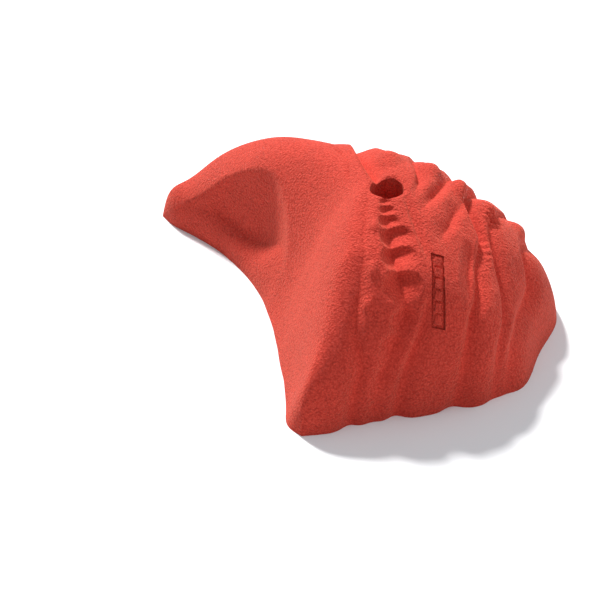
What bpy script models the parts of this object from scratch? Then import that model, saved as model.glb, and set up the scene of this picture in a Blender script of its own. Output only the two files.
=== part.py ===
"""Crescent-shaped bolt-on climbing hold, lying on its flat back.

The hold is one resin casting with two steel inserts moulded into it: the seat
washer of the main bolt and the small washer of the anti-turn screw.

Frame: X runs across the crescent, horns at -X and ribbed flank at +X. Y runs from
the lower horn to the upper horn. Z runs out of the wall. The origin is the centre
of the bounding box on the back face.

The casting is a loft. Each station of the pattern is one section across the
crescent: it climbs from the inner edge to the crest and drops to the outer edge.
Grooves are then pressed in along the surface's own normals.
"""
from collections import namedtuple

import bmesh
import bpy
import numpy as np
from mathutils import Vector
from mathutils.bvhtree import BVHTree

# Overall size of the casting, in metres
HOLD_LENGTH = 0.2365         # X, horn tips to ribbed flank
HOLD_WIDTH = 0.2215          # Y, lower horn tip to back of the upper horn
HOLD_HEIGHT = 0.0918         # Z, wall to crown

# Main bolt: an M10 socket head screw in a straight well
BOLT_SHANK = 0.010
BOLT_HEAD = 0.016
SHANK_CLEARANCE = 0.0005     # all round the shank
HEAD_CLEARANCE = 0.0015      # all round the head, for the key and the washer's face
BOLT_SEAT_HEIGHT = 0.026     # wall to the face that the bolt head pulls on
SEAT_WASHER_THICKNESS = 0.0025

# Anti-turn screw: a 5 mm wood screw through the back flank
SCREW_SHANK = 0.005
SCREW_HEAD = 0.009
SCREW_SEAT_HEIGHT = 0.012
SCREW_WASHER_THICKNESS = 0.0015

WASHER_RIM = 0.0025          # how far a moulded-in washer runs under the resin
SEAT_LAND = 0.0007           # how far a washer's seat stands up out of its rim
MOULD_GAP = 0.0003           # between a moulded-in insert and the resin
FACE_CUT = 0.001             # how far a cutter runs past the surface that it opens

# Name plate: a blank recess down the front flank
PLATE_WIDTH = 0.0078
PLATE_DEPTH = 0.0012
PLATE_CUTTER_LIFT = 0.006    # how far its cutter stands proud of the flank
PLATE_STEPS = 12

# Mesh of the casting
COLUMNS = 112                # sections along the crescent
ROWS = 34                    # points across a section
SECTION_SAMPLES = 240
SCOOP_SAMPLES = 90
PATTERN_PASSES = 2           # smoothing passes over the pattern
CARVED_PASSES = 1            # and over the scoop
GROOVE_PASSES = 2            # and over the pressed grooves
GROOVE_FOOT = 0.008          # grooves sink straight back above this height only
PATH_SPACING = 0.001
ROUND_SIDES = 48

# The pattern below is drawn in millimetres from the bolt's axis. The loft is then
# stretched along X, Y and Z to the overall size above.

# One section of the loft. bow is how far the inner face bows out (1 is straight), hollow
# is how far it then dishes in (1 is none), and full is how far the outer face swells (1
# is a straight chamfer, 2 a quarter ellipse)
Station = namedtuple("Station", "inner crest crest_height outer bow hollow full")
STATIONS = (
    # upper horn, from its tip
    Station((-132, 91), (-137, 102), 17, (-137, 108), 2.5, 0.6, 2.0),
    Station((-121, 84), (-120, 104), 23, (-115, 112), 2.8, 0.45, 1.8),
    Station((-102, 67), (-99, 103), 43, (-92, 116), 3.0, 0.42, 1.9),
    Station((-83, 41), (-67, 84), 68, (-58, 106), 2.6, 0.55, 2.0),
    Station((-72, 18), (-38, 56), 80, (-22, 92), 2.1, 0.95, 2.1),
    # crown and ribbed flank, fanning round the bolt
    Station((-67.5, 2), (-18, 34), 87, (18, 80), 1.9, 1.15, 2.2),
    Station((-64, -13), (-8, 14), 91, (62, 56), 1.9, 1.25, 2.12),
    Station((-62.5, -23), (-8, -1), 92, (93, 28), 1.9, 1.25, 1.9),
    Station((-61, -33), (-10, -11), 91, (102.5, -1), 1.9, 1.25, 1.78),
    Station((-60, -43), (-12, -21), 89, (88, -36), 1.9, 1.25, 1.78),
    Station((-58.5, -53), (-14, -34), 85, (76, -67), 1.9, 1.25, 1.75),
    # lower horn, to its tip
    Station((-57, -65), (-19, -54), 73, (22, -89), 1.9, 1.25, 1.8),
    Station((-56, -85), (-32, -84), 43, (-11, -97), 1.6, 1.2, 1.9),
    Station((-57, -104.5), (-47, -106), 17, (-38, -107.5), 1.6, 1.2, 2.0),
)
HORN_ROUNDING = 0.031        # share of the loft that closes in at each horn's tip

# Rim of the finger scoop: x, y, height of the wall's top, and the share of the height that
# the scoop's floor keeps
SCOOP_RIM = ((-130, 91, 8, 1.0), (-116, 85, 21, 0.75), (-104, 79, 32, 0.5), (-93, 74, 41, 0.36),
             (-83, 67, 51, 0.30), (-73, 59, 60, 0.26), (-67, 51, 61, 0.26), (-64, 42, 54, 0.30),
             (-61, 33, 48, 0.42), (-59, 22, 38, 0.70), (-58, 8, 28, 1.0))
SCOOP_STEEPNESS = 9.0        # rise over run of the scoop's wall

# A groove is a valley along a path. It is as deep as depth at its bed and fades out
# over its left and right reach, seen from above along the path. Millimetres.
Groove = namedtuple("Groove", "name depth left right path")
GROOVES = (
    Groove("smooth_edge", 2.4, 7, 10,
           ((-36, 88), (-13, 14), (-10, -4), (-14, -30), (-16, -62), (-18, -82), (-20, -104))),
    Groove("well_mouth", 4.5, 11, 7,
           ((-18, 84), (-14, 60), (-9, 32), (-6, 21))),
    Groove("spoon_channel", 5.0, 10, 9,
           ((0, -20), (2, -40), (7, -63), (7, -76), (-3, -89), (-10, -100))),
    Groove("plate_foot", 4.4, 9, 7,
           ((20, -70), (14, -81), (7, -90), (-1, -102))),
    Groove("knob_side", 3.0, 7, 7,
           ((20, 58), (18, 36), (19, 12))),
    Groove("second_side", 4.0, 7, 9,
           ((44, 50), (37, 26), (31, 9), (25, -3))),
    Groove("tooth_left", 3.2, 7, 9,
           ((42, -2), (36, -17), (31, -27))),
    Groove("tooth_right", 5.0, 11, 7,
           ((58, 42), (47, 11), (50, -6), (54, -17), (50, -40), (49, -56), (43, -74),
            (36, -86), (28, -98))),
    Groove("far_flute", 4.4, 11, 7,
           ((74, 28), (60, 2), (60, -16), (65, -47), (62, -67), (56, -88))),
    Groove("flange_foot", 4.6, 12, 8,
           ((90, 28), (80, -3), (83, -20), (73, -52), (65, -86))),
)

# Plate's centre line, top to bottom, and the two fasteners, from the bolt's axis
PLATE_PATH = ((26.5, -42), (26.5, -74))
SCREW_PLACE = (-34, 78)

RESIN = {"color": (0.55, 0.075, 0.050, 1.0), "roughness": 0.85, "metallic": 0.0}
STEEL = {"color": (0.56, 0.56, 0.55, 1.0), "roughness": 0.35, "metallic": 1.0}


def clear_scene():
    """Remove what the file opened with."""
    for obj in list(bpy.data.objects):
        bpy.data.objects.remove(obj, do_unlink=True)


def make_collection(name):
    """Add a collection to the scene."""
    collection = bpy.data.collections.new(name)
    bpy.context.scene.collection.children.link(collection)
    return collection


def make_material(name, finish):
    """Make a Principled material from a finish."""
    material = bpy.data.materials.new(name)
    material.use_nodes = True
    shader = material.node_tree.nodes["Principled BSDF"]
    shader.inputs["Base Color"].default_value = finish["color"]
    shader.inputs["Roughness"].default_value = finish["roughness"]
    shader.inputs["Metallic"].default_value = finish["metallic"]
    return material


def add_object(name, mesh, collection, parent):
    """Link a mesh as an object under the bolt's axis."""
    obj = bpy.data.objects.new(name, mesh)
    collection.objects.link(obj)
    obj.parent = parent
    return obj


def smooth_curve(knots, values, at):
    """Cubic curve through values at the knots, read at the places in at."""
    values = np.asarray(values, float)
    if values.ndim == 1:
        values = values[:, None]
    slopes = np.gradient(values, knots, axis=0)
    span = np.clip(np.searchsorted(knots, at, side="right") - 1, 0, len(knots) - 2)
    width = (knots[span + 1] - knots[span])[:, None]
    t = (at - knots[span])[:, None] / width
    return ((2 * t**3 - 3 * t**2 + 1) * values[span]
            + (t**3 - 2 * t**2 + t) * width * slopes[span]
            + (3 * t**2 - 2 * t**3) * values[span + 1]
            + (t**3 - t**2) * width * slopes[span + 1])


def section(inner, crest, height, outer, bow, hollow, full):
    """Points of one section, from the inner edge over the crest to the outer edge."""
    rise = np.linspace(0, 1, SECTION_SAMPLES)[:-1]
    dish = (1 - (1 - rise)**bow)**hollow
    inner_face = np.column_stack((inner + np.outer(rise, crest - inner), height * dish))
    turn = np.linspace(0, np.pi / 2, SECTION_SAMPLES)
    out = np.sin(turn)**(2 / full)
    drop = np.clip(np.cos(turn), 0, 1)**(2 / full)
    outer_face = np.column_stack((crest + np.outer(out, outer - crest), height * drop))
    return np.vstack((inner_face, outer_face))


def even_points(points, count):
    """Space count points evenly along a polyline."""
    steps = np.linalg.norm(np.diff(points, axis=0), axis=1)
    run = np.concatenate(([0], np.cumsum(steps)))
    places = np.linspace(0, run[-1], count)
    return np.column_stack([np.interp(places, run, points[:, axis]) for axis in range(3)])


def pattern_surface():
    """Grid of points over the smooth pattern, columns by rows, in pattern millimetres."""
    outer = np.array([station.outer for station in STATIONS], float)
    steps = np.linalg.norm(np.diff(outer, axis=0), axis=1)
    knots = np.concatenate(([0], np.cumsum(steps))) / steps.sum()
    at = np.linspace(0, 1, COLUMNS)
    outer = smooth_curve(knots, outer, at)
    inner = smooth_curve(knots, [station.inner for station in STATIONS], at)
    crest = smooth_curve(knots, [station.crest for station in STATIONS], at)
    height = smooth_curve(knots, [station.crest_height for station in STATIONS], at)[:, 0]
    bow = smooth_curve(knots, [station.bow for station in STATIONS], at)[:, 0]
    hollow = smooth_curve(knots, [station.hollow for station in STATIONS], at)[:, 0]
    full = smooth_curve(knots, [station.full for station in STATIONS], at)[:, 0]
    from_tip = np.clip(np.minimum(at, 1 - at) / HORN_ROUNDING, 0, 1)
    close = np.sqrt(1 - (1 - from_tip)**2)
    middle = (inner + outer) / 2
    inner = middle + (inner - middle) * close[:, None]
    outer = middle + (outer - middle) * close[:, None]
    crest = middle + (crest - middle) * close[:, None]
    height = height * close
    grid = [even_points(section(inner[i], crest[i], height[i], outer[i],
                                bow[i], hollow[i], full[i]), ROWS)
            for i in range(COLUMNS)]
    grid = relax(np.array(grid), PATTERN_PASSES)
    grid = np.array([even_points(carve_scoop(even_points(column, SECTION_SAMPLES)), ROWS)
                     for column in grid])
    return relax(grid, CARVED_PASSES)


def carve_scoop(points):
    """Cut the finger scoop's wall and floor into one column of the grid."""
    rim = np.array(SCOOP_RIM, float)
    steps = np.linalg.norm(np.diff(rim[:, :2], axis=0), axis=1)
    run = np.concatenate(([0], np.cumsum(steps)))
    rim = smooth_curve(run, rim, np.linspace(0, run[-1], SCOOP_SAMPLES))
    heading = np.gradient(rim[:, :2], axis=0)
    gaps = np.linalg.norm(points[:, None, :2] - rim[None, :, :2], axis=2)
    nearest = gaps.argmin(axis=1)
    away = points[:, :2] - rim[nearest, :2]
    turn = heading[nearest, 0] * away[:, 1] - heading[nearest, 1] * away[:, 0]
    into = gaps[np.arange(len(points)), nearest]
    wall = rim[nearest, 2] - SCOOP_STEEPNESS * into
    floor = points[:, 2] * rim[nearest, 3]
    carved = np.minimum(points[:, 2], np.maximum(wall, floor))
    points = points.copy()
    points[:, 2] = np.where(turn < 0, carved, points[:, 2])
    return points


def relax(grid, passes):
    """Even the surface out, with its edge kept on the wall plane."""
    for _ in range(passes):
        across = grid.copy()
        across[:, 1:-1] = grid[:, 1:-1] * 0.5 + (grid[:, 2:] + grid[:, :-2]) * 0.25
        grid = across.copy()
        grid[1:-1] = across[1:-1] * 0.5 + (across[2:] + across[:-2]) * 0.25
        grid[:, 0, 2] = 0
        grid[:, -1, 2] = 0
    return grid


def stretch_to_size(grid):
    """Stretch a grid to the hold's size. Returns it in metres, and the scale used."""
    points = grid.reshape(-1, 3)
    extent = points.max(axis=0) - points.min(axis=0)
    scale = np.array((HOLD_LENGTH, HOLD_WIDTH, HOLD_HEIGHT)) / extent
    return grid * scale, scale


def grid_normals(grid):
    """Outward unit normal at each point of the grid."""
    along = np.gradient(grid, axis=0)
    across = np.gradient(grid, axis=1)
    normals = np.cross(along, across)
    length = np.linalg.norm(normals, axis=2, keepdims=True)
    normals = normals / np.maximum(length, 1e-12)
    return np.where(length > 1e-12, normals, (0.0, 0.0, 1.0))


def surface_tree(grid):
    """The grid as a surface that rays can be dropped on."""
    index = np.arange(grid.shape[0] * grid.shape[1]).reshape(grid.shape[:2])
    quads = np.stack((index[:-1, :-1], index[1:, :-1], index[1:, 1:], index[:-1, 1:]), axis=-1)
    return BVHTree.FromPolygons(grid.reshape(-1, 3).tolist(), quads.reshape(-1, 4).tolist())


def lay_on_surface(path, surface, scale):
    """Lay a plan path in pattern millimetres on the surface, as close points in metres."""
    corners = np.array(path, float) * scale[:2]
    steps = np.linalg.norm(np.diff(corners, axis=0), axis=1)
    run = np.concatenate(([0], np.cumsum(steps)))
    plan = smooth_curve(run, corners, np.arange(0, run[-1], PATH_SPACING))
    laid = []
    for x, y in plan:
        hit = surface.ray_cast(Vector((x, y, 2 * HOLD_HEIGHT)), Vector((0, 0, -1)))[0]
        laid.append((x, y, hit.z if hit else 0.0))
    return np.array(laid)


def press_groove(grid, normals, groove, surface, scale):
    """How deep one groove presses into each point of the grid, in metres."""
    bed = lay_on_surface(groove.path, surface, scale)
    heading = np.gradient(bed, axis=0)
    points = grid.reshape(-1, 3)
    gaps = np.linalg.norm(points[:, None, :] - bed[None, :, :], axis=2)
    nearest = gaps.argmin(axis=1)
    distance = gaps[np.arange(len(points)), nearest]
    side = np.cross(heading[nearest], points - bed[nearest])
    on_left = (side * normals.reshape(-1, 3)).sum(axis=1) > 0
    unit = scale.mean()
    reach = np.where(on_left, groove.left, groove.right) * unit
    fade = np.cos(np.pi / 2 * np.clip(distance / reach, 0, 1))**2
    return (groove.depth * unit * fade).reshape(grid.shape[:2])


def cast_surface():
    """The finished casting in metres from the bolt's axis: its grid, surface and scale."""
    grid, scale = stretch_to_size(pattern_surface())
    surface = surface_tree(grid)
    normals = grid_normals(grid)
    depth = np.max([press_groove(grid, normals, groove, surface, scale)
                    for groove in GROOVES], axis=0)
    depth[0] = 0
    depth[-1] = 0
    pressed = grid - normals * depth[..., None]
    foot = np.clip(grid[..., 2] / GROOVE_FOOT, 0, 1)
    pressed[..., 2] = grid[..., 2] + (pressed[..., 2] - grid[..., 2]) * foot
    pressed = stretch_to_size(relax(pressed, GROOVE_PASSES))[0]
    return pressed, surface_tree(pressed), scale


def casting_mesh(grid):
    """Closed mesh of the casting: the loft, and one flat face for the back."""
    columns, rows = grid.shape[:2]
    mesh_data = bmesh.new()
    verts = [[mesh_data.verts.new(grid[i, j]) for j in range(rows)] for i in range(columns)]
    for i in range(columns - 1):
        for j in range(rows - 1):
            mesh_data.faces.new((verts[i][j], verts[i + 1][j],
                                 verts[i + 1][j + 1], verts[i][j + 1]))
    outline = [verts[i][0] for i in range(columns)]
    outline += [verts[i][-1] for i in range(columns - 2, 0, -1)]
    mesh_data.faces.new(outline)
    bmesh.ops.remove_doubles(mesh_data, verts=mesh_data.verts, dist=0.00005)
    bmesh.ops.dissolve_degenerate(mesh_data, edges=mesh_data.edges, dist=0.00001)
    bmesh.ops.recalc_face_normals(mesh_data, faces=mesh_data.faces)
    mesh = bpy.data.meshes.new("hold_body")
    mesh_data.to_mesh(mesh)
    mesh_data.free()
    mesh.shade_smooth()
    mesh.set_sharp_from_angle(angle=np.radians(50))
    return mesh


def turned(name, profile, collection, parent, place):
    """Turn a profile of (radius, height) points, outer side first from the top down."""
    mesh = bpy.data.meshes.new(name)
    mesh.from_pydata([(radius, 0, height) for radius, height in profile],
                     [(i, i + 1) for i in range(len(profile) - 1)], [])
    obj = add_object(name, mesh, collection, parent)
    obj.location = (place[0], place[1], 0)
    screw = obj.modifiers.new("turn", "SCREW")
    screw.axis = "Z"
    screw.steps = ROUND_SIDES
    screw.render_steps = ROUND_SIDES
    screw.use_merge_vertices = True
    screw.merge_threshold = 0.00001
    screw.use_smooth_shade = True
    return obj


def well_profile(head_radius, shank_radius, seat_height, washer_thickness):
    """Profile of a bolt's well: open above its seat, with room for the washer under it."""
    pocket = head_radius + WASHER_RIM + MOULD_GAP
    pocket_floor = seat_height - washer_thickness - MOULD_GAP
    pocket_roof = seat_height - SEAT_LAND + MOULD_GAP
    top = HOLD_HEIGHT + FACE_CUT
    return ((0, top), (head_radius, top), (head_radius, pocket_roof), (pocket, pocket_roof),
            (pocket, pocket_floor), (shank_radius, pocket_floor),
            (shank_radius, -FACE_CUT), (0, -FACE_CUT))


def washer_profile(head_radius, shank_radius, seat_height, washer_thickness):
    """Closed profile of a well's washer: its raised land is the seat, its rim is buried."""
    land_radius = head_radius - MOULD_GAP
    rim_radius = head_radius + WASHER_RIM
    rim_top = seat_height - SEAT_LAND
    bottom = seat_height - washer_thickness
    return ((shank_radius, seat_height), (land_radius, seat_height), (land_radius, rim_top),
            (rim_radius, rim_top), (rim_radius, bottom), (shank_radius, bottom),
            (shank_radius, seat_height))


def plate_cutter(surface, scale, collection, parent):
    """A strip that follows the front flank and sinks PLATE_DEPTH into it."""
    line = even_points(lay_on_surface(PLATE_PATH, surface, scale), PLATE_STEPS)
    across = Vector((PLATE_WIDTH / 2, 0, 0))
    down = Vector(line[-1] - line[0])
    outward = across.cross(down).normalized()
    outward = -outward if outward.z < 0 else outward
    strip = bmesh.new()
    rings = []
    for point in line:
        floor = Vector(point) - outward * PLATE_DEPTH
        roof = Vector(point) + outward * PLATE_CUTTER_LIFT
        corners = (floor - across, floor + across, roof + across, roof - across)
        rings.append([strip.verts.new(corner) for corner in corners])
    for ring, following in zip(rings, rings[1:]):
        for k in range(len(ring)):
            after = (k + 1) % len(ring)
            strip.faces.new((ring[k], ring[after], following[after], following[k]))
    strip.faces.new(rings[0])
    strip.faces.new(rings[-1])
    bmesh.ops.recalc_face_normals(strip, faces=strip.faces)
    mesh = bpy.data.meshes.new("plate_cutter")
    strip.to_mesh(mesh)
    strip.free()
    return add_object("plate_cutter", mesh, collection, parent)


def cut(target, cutter):
    """Cut the target with a cutter that stays in the file as a guide."""
    boolean = target.modifiers.new(cutter.name, "BOOLEAN")
    boolean.operation = "DIFFERENCE"
    boolean.object = cutter
    boolean.solver = "EXACT"
    cutter.hide_render = True
    cutter.display_type = "WIRE"


def build():
    """Build the casting and its inserts about the bolt's axis, then place the hold."""
    clear_scene()
    parts = make_collection("climbing_hold")
    cutters = make_collection("cutters")
    axis = bpy.data.objects.new("bolt_axis", None)
    parts.objects.link(axis)

    grid, surface, scale = cast_surface()
    points = grid.reshape(-1, 3)
    centre = (points.min(axis=0) + points.max(axis=0)) / 2
    axis.location = (-centre[0], -centre[1], 0)

    resin = make_material("cast_resin", RESIN)
    steel = make_material("zinc_plated_steel", STEEL)

    body = add_object("hold_body", casting_mesh(grid), parts, axis)
    body.data.materials.append(resin)

    screw_place = np.array(SCREW_PLACE) * scale[:2]
    fasteners = (
        ("bolt", (0, 0), (BOLT_HEAD / 2 + HEAD_CLEARANCE, BOLT_SHANK / 2 + SHANK_CLEARANCE,
                          BOLT_SEAT_HEIGHT, SEAT_WASHER_THICKNESS)),
        ("screw", screw_place, (SCREW_HEAD / 2 + SHANK_CLEARANCE,
                                SCREW_SHANK / 2 + SHANK_CLEARANCE,
                                SCREW_SEAT_HEIGHT, SCREW_WASHER_THICKNESS)),
    )
    for name, place, sizes in fasteners:
        cut(body, turned(name + "_well_cutter", well_profile(*sizes), cutters, axis, place))
        washer = turned(name + "_seat_washer", washer_profile(*sizes), parts, axis, place)
        washer.data.materials.append(steel)
    cut(body, plate_cutter(surface, scale, cutters, axis))


build()
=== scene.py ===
"""Crescent-shaped climbing hold: sand-textured cast resin round two steel seat washers.

The casting is a loft of sections across the crescent, like its CAD solid, on a much
finer grid. Valleys, creases and spoon cuts are pressed in along the surface's normals,
with swells, ripples and the sand's coarser grain. The bolt wells and the name plate's
recess are cut last. Lengths in the tables are pattern millimetres from the bolt's axis.
"""
from collections import namedtuple

import bmesh
import bpy
import numpy as np
from bpy.props import FloatProperty, FloatVectorProperty, IntProperty, PointerProperty
from bpy.types import Operator, Panel, PropertyGroup
from mathutils import Matrix, Vector, noise
from mathutils.bvhtree import BVHTree


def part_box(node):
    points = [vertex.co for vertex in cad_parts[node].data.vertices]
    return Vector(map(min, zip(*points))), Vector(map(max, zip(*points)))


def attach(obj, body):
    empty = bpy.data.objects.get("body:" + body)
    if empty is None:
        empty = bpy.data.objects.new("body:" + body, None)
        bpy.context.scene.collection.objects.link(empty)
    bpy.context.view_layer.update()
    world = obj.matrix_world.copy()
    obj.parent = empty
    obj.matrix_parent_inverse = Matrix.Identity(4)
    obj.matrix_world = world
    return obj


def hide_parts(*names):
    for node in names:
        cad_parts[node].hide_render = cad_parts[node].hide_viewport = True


bl_info = {
    "name": "Climbing Hold",
    "version": (1, 0, 0),
    "blender": (4, 5, 0),
    "location": "3D View > Sidebar > Climbing Hold",
    "description": "Builds a ribbed resin jug hold with its seat washers and a plain stage",
    "category": "Object",
}

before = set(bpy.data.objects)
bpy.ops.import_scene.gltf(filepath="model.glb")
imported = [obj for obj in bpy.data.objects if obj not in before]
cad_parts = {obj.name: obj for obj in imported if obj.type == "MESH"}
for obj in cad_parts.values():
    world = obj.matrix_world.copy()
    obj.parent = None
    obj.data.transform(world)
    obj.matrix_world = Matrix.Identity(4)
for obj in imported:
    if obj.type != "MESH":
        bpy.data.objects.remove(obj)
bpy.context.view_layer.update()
BODY_LOW, BODY_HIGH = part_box("hold_body")
BOLT_LOW, BOLT_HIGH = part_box("bolt_seat_washer")
SCREW_LOW, SCREW_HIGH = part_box("screw_seat_washer")
BOLT_AXIS = (BOLT_LOW + BOLT_HIGH) / 2

BODY = "root"

# Wells: the washers' places come from the frame, the rest is the fasteners' own size
WASHER_RIM = 0.0025
SEAT_LAND = 0.0007
MOULD_GAP = 0.0003
BOLT_SHANK_RADIUS = 0.0055
SCREW_SHANK_RADIUS = 0.003
FACE_CUT = 0.001             # how far a cutter passes the face it opens
ROUND_SIDES = 96

# Mesh of the casting
PATTERN_COLUMNS = 150
PATTERN_ROWS = 60
PATTERN_PASSES = 5
CARVED_PASSES = 9
SCOOP_SAMPLES = 90
SECTION_SAMPLES = 240
PATH_SAMPLES = 200
PATH_SPACING = 0.0006
POINTS_AT_ONCE = 20000       # rough size of a chunk of points
MERGE_DISTANCE = 0.00002
SLIVER_LENGTH = 0.000005
TURNED_MERGE = 0.00001
SHARP_ANGLE = np.radians(55)
TINY = 1e-12
FOOT_HEIGHT = 0.006
SMOOTH_FOOT = (18, 34)       # the ribs are soft below this height and crisp this far above it
FOOT_PASSES = 8
RIB_EDGE = (-20, 12)         # hand shaping starts at this x and is full this far right of it
LEAST_RIB = 0.2              # share of the hand shaping that the foot keeps
LEAST_SAND = 0.25            # share of the coarse sand outside the ribs
FULL_HOLLOW = 5              # depth that counts as wholly hollow
FINE_WAVE = 3                # how many times smaller the second set of waves is

# One section of the loft. bow is how far the inner face swells towards its crest (1 is
# none), hollow is how far its foot dishes in (1 is none), full is how far the outer face
# swells (1 is a straight chamfer, 2 a quarter ellipse)
Station = namedtuple("Station", "inner crest crest_height outer bow hollow full")
STATIONS = (
    # upper horn, from its tip
    Station((-132, 91), (-137, 103), 21, (-137, 108), 2.5, 0.6, 2.0),
    Station((-121, 84), (-120, 104), 23, (-115, 112), 2.8, 0.45, 1.8),
    Station((-102, 67), (-99, 103), 43, (-92, 116), 3.0, 0.42, 1.9),
    Station((-83, 41), (-67, 84), 68, (-58, 106), 2.6, 0.55, 2.0),
    Station((-72, 18), (-38, 56), 80, (-22, 92), 2.1, 0.95, 2.1),
    # crown and ribbed flank, fanning round the bolt
    Station((-67.5, 2), (-18, 34), 87, (18, 80), 1.9, 1.15, 2.2),
    Station((-64, -13), (-8, 14), 91, (62, 56), 1.9, 1.25, 2.12),
    Station((-62.5, -23), (-8, -1), 92, (93, 28), 1.9, 1.25, 1.9),
    Station((-61, -33), (-10, -11), 91, (102.5, -1), 1.9, 1.25, 1.78),
    Station((-60, -43), (-12, -21), 89, (88, -36), 1.9, 1.25, 1.78),
    Station((-58.5, -53), (-14, -34), 85, (76, -67), 1.9, 1.25, 1.75),
    # lower horn, to its tip
    Station((-57, -65), (-19, -54), 73, (22, -89), 1.9, 1.25, 1.8),
    Station((-56, -85), (-35, -84), 43, (-11, -97), 1.6, 1.2, 1.9),
    Station((-57, -104.5), (-50, -106), 17, (-38, -107.5), 1.6, 1.2, 2.0),
)
HORN_ROUNDING = 0.031

# A valley follows its bed of (x, y, depth) points. left and right are its reach to
# either side, seen along the bed, and sharp is 1 for a straight V, 2 for a rounder foot
Valley = namedtuple("Valley", "name left right sharp bed")
VALLEYS = (
    Valley("smooth_edge", 7, 10, 1.7,
           ((-36, 88, 0.8), (-24, 54, 1.0), (-13, 14, 0.9), (-10, -4, 1.6), (-12, -16, 2.4),
            (-13, -30, 2.4), (-14, -47, 2.0), (-16, -62, 2.2), (-18, -73, 2.8), (-18, -82, 3.4),
            (-15, -90, 4.0), (-18, -96, 4.8), (-22, -106, 5.0))),
    Valley("well_mouth", 12, 3.0, 1.1,
           ((-18, 84, 3.0), (-16, 62, 6.0), (-14, 46, 8.4), (-12, 33, 9.0), (-10, 22, 8.4),
            (-8, 13, 7.0), (-6, 6, 3.0), (-5, 0, 0.6))),
    Valley("trough", 11, 8, 1.2,
           ((0, -11, 0.4), (0, -18, 1.4), (0, -26, 2.4), (2, -40, 4.0), (5, -54, 5.0),
            (7, -63, 5.0), (9, -72, 4.6), (5, -80, 4.4), (-1, -87, 3.8), (-6, -93, 2.6),
            (-12, -102, 2.0))),
    Valley("trough_crease", 6, 2.0, 1.3,
           ((9, -4, 0.7), (12, -17, 1.9), (15, -28, 2.1), (18, -38, 1.9), (21, -46, 0.8))),
    Valley("plate_foot", 9, 6, 1.4,
           ((22, -64, 1.0), (20, -70, 3.0), (18, -75, 4.2), (14, -81, 4.8), (10, -86, 5.0),
            (7, -90, 5.2), (3, -95, 5.5), (-2, -104, 6.0))),
    Valley("knob_side", 6, 3.0, 1.2,
           ((20, 58, 1.0), (17, 38, 3.4), (19, 24, 5.0), (19, 12, 4.4), (17, 3, 2.0),
            (15, -4, 0.6))),
    Valley("second_side", 6, 7, 1.5,
           ((44, 50, 2.0), (37, 26, 4.2), (31, 9, 4.4), (25, -3, 3.4), (21, -10, 1.6),
            (18, -16, 0.4))),
    Valley("tooth_left", 5, 10, 1.3,
           ((46, 12, 0.8), (43, 1, 2.6), (39, -8, 3.4), (36, -17, 3.6), (31, -27, 2.4),
            (28, -33, 0.6))),
    Valley("tooth_right", 9, 5, 1.4,
           ((62, 50, 4.0), (53, 28, 5.5), (47, 11, 6.0), (48, 2, 6.0), (51, -7, 6.0),
            (54, -17, 5.4), (52, -26, 4.2), (50, -36, 4.0), (50, -46, 4.4), (49, -56, 4.8),
            (46, -64, 5.0), (44, -71, 5.0), (42, -77, 5.0), (39, -83, 5.0), (33, -88, 5.4),
            (27, -98, 6.0))),
    Valley("tooth_hollow", 8, 8, 1.1,
           ((46, -24, 0.4), (46, -32, 2.6), (45, -44, 3.4), (45, -56, 2.6), (44, -64, 0.6))),
    Valley("far_flute", 11, 4, 1.5,
           ((84, 44, 1.6), (70, 22, 2.4), (60, 2, 2.6), (59, -8, 3.2), (60, -16, 4.0),
            (62, -28, 4.6), (64, -38, 4.8), (65, -47, 4.8), (65, -57, 4.8), (62, -67, 4.8),
            (60, -74, 4.8), (58, -81, 5.0), (54, -92, 5.5))),
    Valley("flange_foot", 13, 7, 1.5,
           ((94, 34, 2.0), (84, 14, 3.4), (80, -3, 4.4), (82, -12, 5.0), (83, -20, 5.4),
            (80, -30, 5.4), (76, -40, 5.0), (73, -52, 4.6), (70, -62, 4.4), (68, -70, 4.2),
            (66, -77, 4.0), (65, -88, 3.6))),
)
# Rim of the finger scoop: x, y, height of the wall's top, and the share of the height that
# the scoop's floor keeps
SCOOP_RIM = ((-130, 92, 10, 1.0), (-116, 86, 22, 0.85), (-104, 80, 32, 0.66), (-93, 75, 41, 0.50),
             (-83, 68, 51, 0.40), (-73, 60, 60, 0.34), (-65, 52, 61, 0.34), (-60, 42, 56, 0.42),
             (-57, 32, 50, 0.58), (-56, 20, 40, 0.80), (-57, 6, 28, 1.0))
SCOOP_STEEPNESS = 6.0        # rise over run of the scoop's wall

# Narrow creases laid over the valleys, in the same form
CREASES = (
    Valley("pit_line", 2, 2.4, 1.4,
           ((-30, 56, 0.6), (-26, 46, 1.4), (-23, 39, 0.8), (-21, 24, 1.3), (-21, 12, 0.4))),
)

# Oval swells. left, right and along are the reach from the place (x, y)
Swell = namedtuple("Swell", "name x y left right along height")
SWELLS = (
    Swell("well_lip", 1, 12, 8, 9, 8, 0.8),
    Swell("knob", 3, 34, 10, 10, 15, 3.0),
    Swell("second_knob", 27, 30, 8, 8, 14, 3.2),
    Swell("third_knob", 43, 19, 8, 8, 14, 3.4),
    Swell("fourth_knob", 60, 10, 9, 9, 14, 2.2),
    Swell("fifth_knob", 78, 20, 10, 10, 14, 3.0),
    Swell("ridge_swell_a", -8, -31, 4, 4, 6, 1.4),
    Swell("ridge_swell_b", -9, -56, 4, 4, 7, 1.6),
    Swell("ridge_swell_c", -12, -70, 4, 4, 6, 1.4),
)
SWELL_EDGE = 2.0             # 1 leaves a crease round the swell, 2 fades it out
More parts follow.
